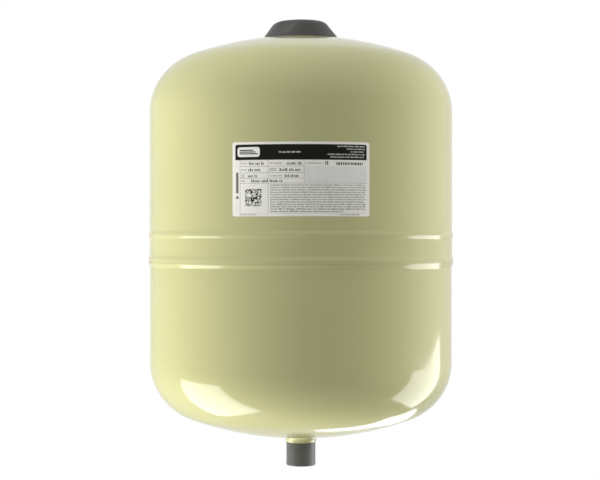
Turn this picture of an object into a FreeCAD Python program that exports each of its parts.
"""Expansion vessel, 18 litre class: two deep-drawn steel half shells with a clamped diaphragm
between gas and water, a charging valve under a fluted cover on top, and a G 3/4 water
connection with a push-on thread protector below.

Millimetres. The origin is the centre of the water connection's end face, +Z runs up the
vessel's axis, and the label faces -Y."""

import FreeCAD, Part
import os
import re
import Sketcher

DOC = FreeCAD.newDocument("expansion_vessel")
SHEET = DOC.addObject("Spreadsheet::Sheet", "Sizes")

# Driving dimensions: alias, value, meaning. Lengths in mm, angles in degrees, heights above z = 0.
SIZES = (
    ("body_radius", 140.0, "outer radius of the upper shell's cylinder"),
    ("shell_wall", 1.4, "sheet thickness of both shells"),
    ("crown_radius", 305.0, "outer radius of the heads' crown"),
    ("knuckle_radius", 55.0, "outer radius of the heads' knuckle"),
    ("upper_tangent", 325.6, "height where the upper head leaves the cylinder"),
    ("lower_tangent", 95.4, "height where the lower head leaves the cylinder"),
    ("lower_inset", 0.4, "how much smaller the lower shell is in radius"),
    ("clamp_height", 212.4, "middle of the clamping bead"),
    ("clamp_half", 4.2, "half the bead's height"),
    ("clamp_rise", 0.5, "how far the bead stands out"),
    ("skirt_bottom", 187.4, "lower edge of the upper shell's skirt"),
    ("skirt_flare", 1.0, "how far the skirt is opened out"),
    ("flare_bottom", 190.2, "lower end of the flare"),
    ("flare_top", 194.2, "upper end of the flare"),
    ("weld_bottom", 182.3, "lower edge of the lap weld, where the joggle starts"),
    ("joggle_top", 193.5, "upper end of the lower shell's joggle"),
    ("joggle_depth", 1.0, "how far the joggle steps inward"),
    ("rim_top", 204.0, "upper edge of the lower shell"),
    ("recess_radius", 26.0, "radius of the valve recess"),
    ("recess_floor", 384.6, "height of the recess floor"),
    ("recess_corner", 2.0, "corner radius at the recess floor"),
    ("recess_lip", 2.5, "rounding at the recess mouth"),
    ("valve_hole", 4.2, "radius of the hole for the charging valve"),
    ("label_thickness", 0.15, "thickness of the label film"),
    ("label_angle", 48.8, "angle that the label wraps"),
    ("label_bottom", 227.8, "lower edge of the label"),
    ("label_top", 290.5, "upper edge of the label"),
    ("cover_top", 410.3, "top face of the valve cover"),
    ("cover_wall", 1.8, "wall of the valve cover"),
    ("cover_flat", 19.9, "radius of the cover's flat top"),
    ("cover_edge", 8.0, "rounding round the flat top"),
    ("cover_slope", 54.5, "angle of the cover's side below the horizontal"),
    ("cover_rim", 393.5, "lower edge of the cover at the outside"),
    ("cover_rim_rise", 0.2, "how much higher the rim's inner edge is"),
    ("flute_radius", 50.0, "radius of the three hollow flutes"),
    ("flute_offset", 63.2, "distance of a flute's centre from the axis"),
    ("flute_height", 437.2, "height of a flute's centre"),
    ("collar_radius", 25.6, "outer radius of the cover's collar in the recess"),
    ("collar_bottom", 388.2, "lower edge of the collar"),
    ("collar_top", 406.4, "where the collar runs into the cover"),
    ("stem_radius", 4.0, "shank radius of the charging valve"),
    ("stem_thread", 3.85, "thread radius of the charging valve"),
    ("stem_top", 397.6, "upper end of the valve stem"),
    ("stem_bottom", 379.5, "lower end of the valve stem"),
    ("stem_bore", 2.6, "bore of the valve stem"),
    ("stem_flange", 8.0, "radius of the stem's inner flange and its gasket"),
    ("flange_thickness", 1.6, "thickness of the stem's inner flange"),
    ("gasket_thickness", 1.4, "thickness of the gasket under the shell"),
    ("washer_radius", 9.0, "radius of the valve washer"),
    ("washer_thickness", 1.0, "thickness of the valve washer"),
    ("nut_flats", 13.0, "width across flats of the valve nut"),
    ("nut_thickness", 4.0, "thickness of the valve nut"),
    ("barrel_radius", 2.5, "radius of the valve core's barrel"),
    ("barrel_bottom", 385.5, "lower end of the core barrel"),
    ("barrel_top", 395.5, "upper end of the core barrel"),
    ("barrel_bore", 1.5, "spring chamber of the core barrel"),
    ("barrel_guide", 0.95, "guide hole for the core pin"),
    ("chamber_bottom", 387.0, "floor of the spring chamber"),
    ("pin_radius", 0.8, "radius of the core pin"),
    ("pin_bottom", 384.0, "lower end of the core pin"),
    ("pin_top", 397.2, "upper end of the core pin"),
    ("pin_collar", 1.35, "radius of the collar that the spring lifts"),
    ("pin_collar_bottom", 394.0, "underside of that collar"),
    ("seal_radius", 2.0, "radius of the core's seal"),
    ("seal_top", 385.35, "upper face of the core's seal"),
    ("seal_thickness", 1.1, "thickness of the core's seal"),
    ("spring_wire", 0.18, "wire radius of the core spring"),
    ("spring_radius", 1.15, "mean radius of the core spring"),
    ("spring_pitch", 1.6, "pitch of the core spring"),
    ("cap_radius", 5.6, "outer radius of the dust cap"),
    ("cap_bottom", 390.2, "lower edge of the dust cap"),
    ("cap_top", 400.2, "top of the dust cap"),
    ("cap_roof", 1.5, "thickness of the dust cap's top"),
    ("cap_bore", 3.95, "radius inside the dust cap"),
    ("cap_seal_radius", 3.7, "radius of the sealing disc in the dust cap"),
    ("cap_seal_gap", 0.05, "play above and below that disc"),
    ("clench_inner", 134.7, "inner radius of the clench ring"),
    ("clench_lip", 138.4, "outer radius of the clench ring's lip"),
    ("clench_play", 0.2, "play of the clench ring above the neck, and below the bead's top"),
    ("rubber", 2.0, "thickness of the diaphragm"),
    ("rubber_offset", 4.5, "water side of the diaphragm, in from the outer surface"),
    ("neck_bottom", 206.4, "underside of the diaphragm's clamped neck"),
    ("bulb_radius", 138.5, "radius of the diaphragm's bulb beside its rounding"),
    ("bulb_round", 20.2, "rounding of the diaphragm's bulb"),
    ("centre_radius", 60.0, "radius of the diaphragm's stiff centre"),
    ("centre_gap", 0.3, "gap between the centre and the wall"),
    ("liner_wall", 1.2, "thickness of the water liner"),
    ("liner_top", 206.2, "upper edge of the water liner"),
    ("spout_inner", 9.0, "inner radius of the liner's spout"),
    ("spout_outer", 11.1, "outer radius of the liner's spout"),
    ("spout_seat", 11.25, "radius of the seat for the spout in the connection"),
    ("spout_bottom", 12.0, "lower end of the liner's spout"),
    ("spout_round", 2.0, "rounding where the spout opens into the liner"),
    ("seal_ring_height", 19.5, "height of the O-ring"),
    ("seal_ring_section", 0.55, "section radius of the O-ring"),
    ("groove_depth", 1.0, "depth of the O-ring's groove"),
    ("groove_half", 0.8, "half the width of the O-ring's groove"),
    ("nipple_bore", 9.5, "bore of the water connection"),
    ("nipple_thread", 13.05, "radius of the G 3/4 thread as an envelope"),
    ("nipple_relief", 12.2, "radius of the relief behind the thread"),
    ("thread_top", 16.8, "end of the thread"),
    ("nipple_chamfer", 1.1, "chamfer at the thread's start"),
    ("shank_radius", 13.3, "radius of the connection's shank in the shell"),
    ("shank_bottom", 20.4, "lower end of the shank"),
    ("shell_hole", 13.35, "radius of the hole in the lower shell"),
    ("neck_radius", 20.0, "radius where the neck weld meets the shell"),
    ("neck_foot", 13.8, "radius of the neck weld's lower edge"),
    ("neck_round", 8.0, "hollow rounding of the neck weld"),
    ("protector_inner", 13.15, "inner radius of the thread protector"),
    ("protector_outer", 13.6, "outer radius of the thread protector"),
    ("protector_end", 1.0, "thickness of the protector's closed end"),
    ("protector_top", 20.2, "upper edge of the thread protector"),
    ("protector_chamfer", 0.7, "chamfer round the protector's closed end"),
)
ALIASES = {alias for alias, value, meaning in SIZES}

# The centre of an arc lies to the left or to the right of the way that the profile runs.
LEFT = 1
RIGHT = -1
FULL_TURN = 360.0
FLUTES = 3
ON_AXIS = 1e-9


def fill_sheet():
    """One row for each driving dimension: its meaning, and its value under its alias."""
    for row, (alias, value, meaning) in enumerate(SIZES, start=1):
        SHEET.set(f"A{row}", meaning)
        SHEET.set(f"B{row}", str(value))
        SHEET.setAlias(f"B{row}", alias)
    DOC.recompute()


def bound(expression):
    """The expression with each alias written as a reference to the sheet."""
    def refer(match):
        word = match.group(0)
        return "Sizes." + word if word in ALIASES else word
    return re.sub(r"[a-z_]+", refer, expression)


def number(expression):
    """The expression's present value."""
    return float(SHEET.evalExpression(bound(expression)))


def origin_plane(body, role):
    """One of the body's own origin planes."""
    return next(plane for plane in body.Origin.OriginFeatures if plane.Role == role)


def new_sketch(body, role, name):
    """An empty sketch on one of the body's origin planes."""
    sketch = body.newObject("Sketcher::SketchObject", name)
    sketch.AttachmentSupport = [(origin_plane(body, role), "")]
    sketch.MapMode = "FlatFace"
    return sketch


def arc_through(start, end, radius, side):
    """The shorter arc from start to end with its centre on that side of the way."""
    chord = end - start
    middle = (start + end) / 2
    across = FreeCAD.Vector(-chord.y, chord.x, 0).normalize() * side
    rise = max(radius ** 2 - chord.Length ** 2 / 4, 0.0) ** 0.5
    centre = middle + across * rise
    axis = FreeCAD.Vector(1, 0, 0)
    up = FreeCAD.Vector(0, 0, 1)
    first, last = (start, end) if side == LEFT else (end, start)
    turn = 2 * FreeCAD.Units.parseQuantity("180 deg").getValueAs("rad").Value
    angles = [(point - centre) for point in (first, last)]
    angles = [axis.getAngle(arm) * (1 if arm.y >= 0 else -1) for arm in angles]
    if angles[1] < angles[0]:
        angles[1] += turn
    return Part.ArcOfCircle(Part.Circle(centre, up, radius), *angles)


def draw_profile(sketch, steps):
    """A closed outline through the steps (radius, height), each reached by a straight line, or
    by an arc where the step also gives (..., arc radius, side). It closes with a line."""
    points = [FreeCAD.Vector(number(step[0]), number(step[1]), 0) for step in steps]
    edges = []
    ends = []
    constraints = []
    bindings = []
    count = len(steps)
    for index in range(count):
        start, end = points[index], points[(index + 1) % count]
        step = steps[(index + 1) % count]
        if len(step) == 2:
            edges.append(Part.LineSegment(start, end))
            ends.append((1, 2))
        else:
            edges.append(arc_through(start, end, number(step[2]), step[3]))
            ends.append((1, 2) if step[3] == LEFT else (2, 1))
            bindings.append((len(constraints), step[2]))
            constraints.append(Sketcher.Constraint("Radius", index, number(step[2])))
    for index in range(count):
        before = index - 1 if index else count - 1
        here = (index, ends[index][0])
        constraints.append(Sketcher.Constraint("Coincident", before, ends[before][1], *here))
        for way, axis, value, text in (
            ("DistanceX", -2, points[index].x, steps[index][0]),
            ("DistanceY", -1, points[index].y, steps[index][1]),
        ):
            if abs(value) < ON_AXIS:
                constraints.append(Sketcher.Constraint("PointOnObject", *here, axis))
            else:
                bindings.append((len(constraints), text))
                constraints.append(Sketcher.Constraint(way, -1, 1, *here, value))
    sketch.addGeometry(edges, False)
    sketch.addConstraint(constraints)
    for position, text in bindings:
        sketch.setExpression(f"Constraints[{position}]", bound(text))


def turned(label, steps, angle=None):
    """A body turned about Z from an outline of (radius, height) steps."""
    body = DOC.addObject("PartDesign::Body", label)
    sketch = new_sketch(body, "XZ_Plane", label + "_outline")
    draw_profile(sketch, steps)
    feature = body.newObject("PartDesign::Revolution", label + "_turning")
    feature.Profile = (sketch, [""])
    feature.ReferenceAxis = (sketch, ["V_Axis"])
    feature.Angle = FULL_TURN
    if angle:
        feature.Midplane = True
        feature.setExpression("Angle", bound(angle))
    body.Tip = feature
    return body


def ring(label, inner, outer, bottom, top):
    """A plain turned ring or, with an inner radius of 0, a disc."""
    return turned(label, [(inner, bottom), (outer, bottom), (outer, top), (inner, top)])


# A head is a crown and a knuckle that meet tangentially. Every surface of both heads is that
# outer surface moved inward by an offset, which keeps the centres of both arcs.
MEETING = "((body_radius - knuckle_radius) / (crown_radius - knuckle_radius))"
MEETING_RISE = f"sqrt(1 - {MEETING} ^ 2)"
CROWN_DROP = f"((crown_radius - knuckle_radius) * {MEETING_RISE})"


def crown_height(head, offset, radius):
    """Height of a head's crown at that radius, offset inward from the outer surface."""
    reach = f"sqrt((crown_radius - ({offset})) ^ 2 - ({radius}) ^ 2)"
    if head == "upper":
        return f"upper_tangent - {CROWN_DROP} + {reach}"
    return f"lower_tangent + {CROWN_DROP} - {reach}"


def meeting_point(head, offset):
    """Where crown and knuckle meet on a surface offset inward."""
    radius = f"body_radius - knuckle_radius + (knuckle_radius - ({offset})) * {MEETING}"
    rise = f"(knuckle_radius - ({offset})) * {MEETING_RISE}"
    height = f"upper_tangent + {rise}" if head == "upper" else f"lower_tangent - {rise}"
    return radius, height


def head_outward(head, offset, radius, side):
    """Steps along a head from the given radius on the crown out to the cylinder."""
    return [
        (radius, crown_height(head, offset, radius)),
        (*meeting_point(head, offset), f"crown_radius - ({offset})", side),
        (f"body_radius - ({offset})", head + "_tangent", f"knuckle_radius - ({offset})", side),
    ]


def head_inward(head, offset, radius, side):
    """Steps along a head from the cylinder in to the given radius on the crown."""
    return [
        (f"body_radius - ({offset})", head + "_tangent"),
        (*meeting_point(head, offset), f"knuckle_radius - ({offset})", side),
        (radius, crown_height(head, offset, radius), f"crown_radius - ({offset})", side),
    ]


def make_upper_shell():
    """Gas-side half: valve recess, head, clamping bead, and a skirt flared over the lower rim."""
    mouth = "recess_radius + recess_lip"
    lip_height = crown_height("upper", "0", mouth)
    bead_bend = "(clamp_half ^ 2 + clamp_rise ^ 2) / (2 * clamp_rise)"
    bead_low = "clamp_height - clamp_half"
    bead_high = "clamp_height + clamp_half"
    inner = "body_radius - shell_wall"
    outside = [
        ("valve_hole", "recess_floor"),
        ("recess_radius - recess_corner", "recess_floor"),
        ("recess_radius", "recess_floor + recess_corner", "recess_corner", LEFT),
        ("recess_radius", f"{lip_height} - recess_lip"),
        (mouth, lip_height, "recess_lip", RIGHT),
        *head_outward("upper", "0", mouth, RIGHT)[1:],
        ("body_radius", bead_high),
        ("body_radius", bead_low, bead_bend, RIGHT),
        ("body_radius", "flare_top"),
        ("body_radius + skirt_flare", "flare_bottom"),
        ("body_radius + skirt_flare", "skirt_bottom"),
    ]
    inside = [
        (f"{inner} + skirt_flare", "skirt_bottom"),
        (f"{inner} + skirt_flare", "flare_bottom"),
        (inner, "flare_top"),
        (inner, bead_low),
        (inner, bead_high, bead_bend, LEFT),
        *head_inward("upper", "shell_wall", mouth, LEFT),
        (
            "recess_radius + shell_wall", f"{lip_height} - recess_lip",
            "recess_lip - shell_wall", LEFT,
        ),
        ("recess_radius + shell_wall", "recess_floor + recess_corner"),
        (
            "recess_radius - recess_corner", "recess_floor - shell_wall",
            "recess_corner + shell_wall", RIGHT,
        ),
        ("valve_hole", "recess_floor - shell_wall"),
    ]
    return turned("upper_shell", outside + inside)


def make_lower_shell():
    """Water-side half: head with a hole for the connection, and a joggled rim."""
    offset = "lower_inset + shell_wall"
    outer = "body_radius - lower_inset"
    inner = f"body_radius - ({offset})"
    outside = [
        *head_outward("lower", "lower_inset", "shell_hole", LEFT),
        (outer, "weld_bottom"),
        (f"{outer} - joggle_depth", "joggle_top"),
        (f"{outer} - joggle_depth", "rim_top"),
    ]
    inside = [
        (f"{inner} - joggle_depth", "rim_top"),
        (f"{inner} - joggle_depth", "joggle_top"),
        (inner, "weld_bottom"),
        *head_inward("lower", offset, "shell_hole", RIGHT),
    ]
    return turned("lower_shell", outside + inside)


def make_shell_weld():
    """Lap weld between the skirt's edge and the lower shell's joggle."""
    outer = "body_radius - lower_inset"
    share = "((skirt_bottom - weld_bottom) / (joggle_top - weld_bottom))"
    return turned("shell_weld", [
        (outer, "weld_bottom"),
        ("body_radius + skirt_flare", "skirt_bottom"),
        (f"{outer} - joggle_depth * {share}", "skirt_bottom"),
    ])


def make_label():
    """Label film round the front of the upper shell."""
    outer = "body_radius + label_thickness"
    body = turned("label", [
        ("body_radius", "label_bottom"), (outer, "label_bottom"),
        (outer, "label_top"), ("body_radius", "label_top"),
    ], angle="label_angle")
    facing_front = FreeCAD.Rotation(FreeCAD.Vector(0, 0, 1), -90)
    body.Placement = FreeCAD.Placement(FreeCAD.Vector(), facing_front)
    return body


def cover_outline(label, offset, rim):
    """The cover's form without flutes, moved inward by an offset and closed at its rim."""
    bend = f"(cover_edge - ({offset}))"
    end_radius = f"(cover_flat + {bend} * sin(cover_slope))"
    end_height = f"(cover_top - cover_edge + {bend} * cos(cover_slope))"
    foot = f"{end_radius} + ({end_height} - ({rim})) / tan(cover_slope)"
    return turned(label, [
        ("0", f"cover_top - ({offset})"),
        ("0", f"{rim} + cover_rim_rise"),
        (f"{foot} - cover_wall", f"{rim} + cover_rim_rise"),
        (foot, rim),
        (end_radius, end_height),
        ("cover_flat", f"cover_top - ({offset})", bend, LEFT),
    ])


def flute_cutters(label, offset):
    """The three balls that hollow out the cover's flutes, one towards +X."""
    balls = []
    for index in range(FLUTES):
        angle = FULL_TURN * index / FLUTES
        ball = DOC.addObject("Part::Sphere", f"{label}_{index}")
        ball.setExpression("Radius", bound(f"flute_radius + ({offset})"))
        ball.setExpression("Placement.Base.x", bound(f"flute_offset * cos({angle})"))
        ball.setExpression("Placement.Base.y", bound(f"flute_offset * sin({angle})"))
        ball.setExpression("Placement.Base.z", bound("flute_height"))
        balls.append(ball)
    return fused(label, balls)


def fused(label, shapes):
    """Several solids as one."""
    whole = DOC.addObject("Part::MultiFuse", label)
    whole.Shapes = shapes
    return whole


def cut(label, base, tool):
    """The base with the tool taken out of it."""
    rest = DOC.addObject("Part::Cut", label)
    rest.Base = base
    rest.Tool = tool
    return rest


def make_valve_cover():
    """Hollow three-lobed cap over the valve, with a collar that grips in the recess."""
    form = cover_outline("cover_form", "0", "cover_rim")
    hollow = cover_outline("cover_hollow", "cover_wall", "cover_rim - cover_wall")
    core = cut("cover_core", hollow, flute_cutters("inner_flutes", "cover_wall"))
    shell = cut("cover_shell", form, core)
    collar = ring(
        "cover_collar", "collar_radius - cover_wall", "collar_radius",
        "collar_bottom", "collar_top",
    )
    return cut(
        "valve_cover", fused("cover_with_collar", [shell, collar]),
        flute_cutters("outer_flutes", "0"),
    )


def make_valve_stem():
    """Charging valve body, put in from inside: flange below the shell, thread on top."""
    flange_top = "recess_floor - shell_wall - gasket_thickness"
    nut_top = "recess_floor + washer_thickness + nut_thickness"
    return turned("valve_stem", [
        ("stem_bore", "stem_bottom"),
        ("stem_radius", "stem_bottom"),
        ("stem_radius", f"{flange_top} - flange_thickness"),
        ("stem_flange", f"{flange_top} - flange_thickness"),
        ("stem_flange", flange_top),
        ("stem_radius", flange_top),
        ("stem_radius", nut_top),
        ("stem_thread", f"{nut_top} + stem_radius - stem_thread"),
        ("stem_thread", "stem_top"),
        ("stem_bore", "stem_top"),
    ])


def make_valve_gasket():
    """Rubber gasket between the stem's flange and the inside of the shell."""
    top = "recess_floor - shell_wall"
    return ring("valve_gasket", "stem_radius", "stem_flange", f"{top} - gasket_thickness", top)


def make_valve_washer():
    """Washer on the recess floor."""
    top = "recess_floor + washer_thickness"
    return ring("valve_washer", "stem_radius", "washer_radius", "recess_floor", top)


def make_valve_nut():
    """Hexagon nut that clamps the charging valve."""
    seat = "recess_floor + washer_thickness"
    blank = DOC.addObject("Part::Prism", "nut_blank")
    blank.Polygon = 6
    blank.setExpression("Circumradius", bound("nut_flats / 2 / cos(30)"))
    hole = DOC.addObject("Part::Cylinder", "nut_hole")
    hole.setExpression("Radius", bound("stem_radius"))
    for piece in (blank, hole):
        piece.setExpression("Height", bound("nut_thickness"))
        piece.setExpression("Placement.Base.z", bound(seat))
    return cut("valve_nut", blank, hole)


def make_core_barrel():
    """Barrel of the valve core, screwed into the stem."""
    return turned("core_barrel", [
        ("barrel_guide", "barrel_bottom"),
        ("barrel_radius", "barrel_bottom"),
        ("barrel_radius", "barrel_top"),
        ("barrel_bore", "barrel_top"),
        ("barrel_bore", "chamber_bottom"),
        ("barrel_guide", "chamber_bottom"),
    ])


def make_core_pin():
    """Sprung pin that opens the valve when it is pressed."""
    collar_top = "pin_collar_bottom + pin_radius"
    return turned("core_pin", [
        ("0", "pin_bottom"),
        ("pin_radius", "pin_bottom"),
        ("pin_radius", "pin_collar_bottom"),
        ("pin_collar", "pin_collar_bottom"),
        ("pin_collar", collar_top),
        ("pin_radius", collar_top),
        ("pin_radius", "pin_top"),
        ("0", "pin_top"),
    ])


def make_core_seal():
    """Rubber seal on the pin, closing the barrel from below."""
    bottom = "seal_top - seal_thickness"
    return ring("core_seal", "pin_radius", "seal_radius", bottom, "seal_top")


def make_core_spring():
    """Coil spring between the barrel's floor and the pin's collar."""
    base = "chamber_bottom + spring_wire"
    line = DOC.addObject("Part::Helix", "spring_line")
    line.setExpression("Pitch", bound("spring_pitch"))
    line.setExpression("Radius", bound("spring_radius"))
    line.setExpression("Height", bound("pin_collar_bottom - chamber_bottom - 2 * spring_wire"))
    line.setExpression("Placement.Base.z", bound(base))
    wire = DOC.addObject("Part::Circle", "spring_section")
    wire.setExpression("Radius", bound("spring_wire"))
    wire.Placement.Rotation = FreeCAD.Rotation(FreeCAD.Vector(1, 0, 0), 90)
    wire.setExpression("Placement.Base.x", bound("spring_radius"))
    wire.setExpression("Placement.Base.z", bound(base))
    DOC.recompute()
    coil = DOC.addObject("Part::Sweep", "core_spring")
    coil.Sections = [wire]
    coil.Spine = (line, [f"Edge{number + 1}" for number in range(len(line.Shape.Edges))])
    coil.Solid = True
    coil.Frenet = True
    return coil


def make_dust_cap():
    """Screw cap over the charging valve."""
    return turned("dust_cap", [
        ("0", "cap_top"),
        ("0", "cap_top - cap_roof"),
        ("cap_bore", "cap_top - cap_roof"),
        ("cap_bore", "cap_bottom"),
        ("cap_radius", "cap_bottom"),
        ("cap_radius", "cap_top - cap_roof / 2"),
        ("cap_radius - cap_roof / 2", "cap_top", "cap_roof / 2", LEFT),
    ])


def make_dust_cap_gasket():
    """Sealing disc in the dust cap, on the stem's end."""
    return ring(
        "dust_cap_gasket", "0", "cap_seal_radius",
        "stem_top + cap_seal_gap", "cap_top - cap_roof - cap_seal_gap",
    )


def make_clench_ring():
    """Steel ring that presses the diaphragm's bulb into the bead."""
    outer = "clench_inner + shell_wall"
    bulb_top = "clamp_height + clamp_half - clench_play"
    return turned("clench_ring", [
        ("clench_inner", "neck_bottom + rubber + clench_play"),
        (outer, "neck_bottom + rubber + clench_play"),
        (outer, bulb_top),
        ("clench_lip", bulb_top),
        ("clench_lip", f"{bulb_top} + shell_wall"),
        ("clench_inner", f"{bulb_top} + shell_wall"),
    ])


def make_diaphragm():
    """Rubber diaphragm without its centre: bulb, clamped neck and a wall along the liner."""
    water_side = "rubber_offset"
    gas_side = "rubber_offset + rubber"
    edge = "centre_radius + centre_gap"
    bulb_top = "clamp_height + clamp_half - clench_play"
    neck_top = "neck_bottom + rubber"
    return turned("diaphragm", [
        *head_outward("lower", water_side, edge, LEFT),
        (f"body_radius - ({water_side})", "neck_bottom"),
        ("bulb_radius", "neck_bottom"),
        ("bulb_radius", neck_top),
        ("bulb_radius", bulb_top, "bulb_round", LEFT),
        ("clench_inner + shell_wall", bulb_top),
        ("clench_inner + shell_wall", neck_top),
        (f"body_radius - ({gas_side})", neck_top),
        *head_inward("lower", gas_side, edge, RIGHT),
    ])


def make_diaphragm_crown():
    """Centre of the diaphragm, which the water lifts."""
    water_side = "rubber_offset"
    gas_side = "rubber_offset + rubber"
    return turned("diaphragm_crown", [
        ("0", crown_height("lower", water_side, "0")),
        (
            "centre_radius", crown_height("lower", water_side, "centre_radius"),
            f"crown_radius - {water_side}", LEFT,
        ),
        ("centre_radius", crown_height("lower", gas_side, "centre_radius")),
        (
            "0", crown_height("lower", gas_side, "0"),
            f"crown_radius - ({gas_side})", RIGHT,
        ),
    ])


def make_water_liner():
    """Plastic liner that keeps water off the lower shell, with a spout through the connection."""
    touching = "lower_inset + shell_wall"
    wet = f"{touching} + liner_wall"
    joggle = "joggle_depth"
    groove_low = "seal_ring_height - groove_half"
    groove_high = "seal_ring_height + groove_half"
    groove = "spout_outer - groove_depth"
    mouth = "spout_inner + spout_round"
    return turned("water_liner", [
        ("spout_inner", "spout_bottom"),
        ("spout_outer", "spout_bottom"),
        ("spout_outer", groove_low),
        (groove, groove_low),
        (groove, groove_high),
        ("spout_outer", groove_high),
        *head_outward("lower", touching, "spout_outer", LEFT),
        (f"body_radius - ({touching})", "weld_bottom"),
        (f"body_radius - ({touching}) - {joggle}", "joggle_top"),
        (f"body_radius - ({touching}) - {joggle}", "liner_top"),
        (f"body_radius - ({wet}) - {joggle}", "liner_top"),
        (f"body_radius - ({wet}) - {joggle}", "joggle_top"),
        (f"body_radius - ({wet})", "weld_bottom"),
        *head_inward("lower", wet, mouth, RIGHT),
        (
            "spout_inner", f"{crown_height('lower', wet, mouth)} - spout_round",
            "spout_round", LEFT,
        ),
    ])


def make_spout_oring():
    """O-ring between the liner's spout and the connection."""
    loop = DOC.addObject("Part::Torus", "spout_oring")
    loop.setExpression("Radius1", bound("(spout_outer - groove_depth + spout_seat) / 2"))
    loop.setExpression("Radius2", bound("seal_ring_section"))
    loop.setExpression("Placement.Base.z", bound("seal_ring_height"))
    return loop


def make_water_nipple():
    """Threaded connection with a shank in the lower shell and a seat for the liner's spout."""
    shank_top = crown_height("lower", "lower_inset + shell_wall", "spout_outer")
    slope = "nipple_thread - nipple_relief"
    return turned("water_nipple", [
        ("nipple_bore", "0"),
        ("nipple_thread - nipple_chamfer", "0"),
        ("nipple_thread", "nipple_chamfer"),
        ("nipple_thread", "thread_top"),
        ("nipple_relief", f"thread_top + {slope}"),
        ("nipple_relief", "shank_bottom"),
        ("shank_radius", "shank_bottom"),
        ("shank_radius", shank_top),
        ("spout_seat", shank_top),
        ("spout_seat", "spout_bottom"),
        ("nipple_bore", "spout_bottom"),
    ])


def make_nipple_weld():
    """Hollow neck of weld between the connection and the lower shell."""
    return turned("nipple_weld", [
        ("shank_radius", "shank_bottom"),
        ("neck_foot", "shank_bottom"),
        ("neck_radius", crown_height("lower", "lower_inset", "neck_radius"), "neck_round", RIGHT),
        (
            "shank_radius", crown_height("lower", "lower_inset", "shank_radius"),
            "crown_radius - lower_inset", RIGHT,
        ),
    ])


def make_thread_protector():
    """Push-on plastic cap over the thread."""
    return turned("thread_protector", [
        ("0", "-protector_end"),
        ("protector_outer - protector_chamfer", "-protector_end"),
        ("protector_outer", "protector_chamfer - protector_end"),
        ("protector_outer", "protector_top"),
        ("protector_inner", "protector_top"),
        ("protector_inner", "0"),
        ("0", "0"),
    ])


def check(parts):
    """Stop on an object that failed, or on a part that isn't a valid solid shape."""
    for item in DOC.Objects:
        if {"Invalid", "Error"} & set(item.State):
            raise RuntimeError(f"{item.Label} failed: {item.State}")
    for part in parts:
        if part.Shape.isNull() or not part.Shape.isValid() or not part.Shape.Solids:
            raise RuntimeError(f"{part.Label} is not a valid solid")


def main():
    """Build every part, check them all, and write one STEP file for each."""
    fill_sheet()
    parts = [
        make_upper_shell(), make_lower_shell(), make_shell_weld(), make_label(),
        make_valve_cover(), make_valve_stem(), make_valve_gasket(), make_valve_washer(),
        make_valve_nut(), make_core_barrel(), make_core_pin(), make_core_seal(),
        make_core_spring(), make_dust_cap(), make_dust_cap_gasket(), make_clench_ring(),
        make_diaphragm(), make_diaphragm_crown(), make_water_liner(), make_spout_oring(),
        make_water_nipple(), make_nipple_weld(), make_thread_protector(),
    ]
    DOC.recompute()
    check(parts)
    os.makedirs("parts", exist_ok=True)
    for part in parts:
        part.Shape.exportStep(f"parts/{part.Label}.step")
        box = part.Shape.BoundBox
        print(
            f"{part.Label:18s} solids {len(part.Shape.Solids)} volume {part.Shape.Volume:10.1f}"
            f" radius {box.XMax:7.2f} z {box.ZMin:7.2f} to {box.ZMax:7.2f}"
        )


main()
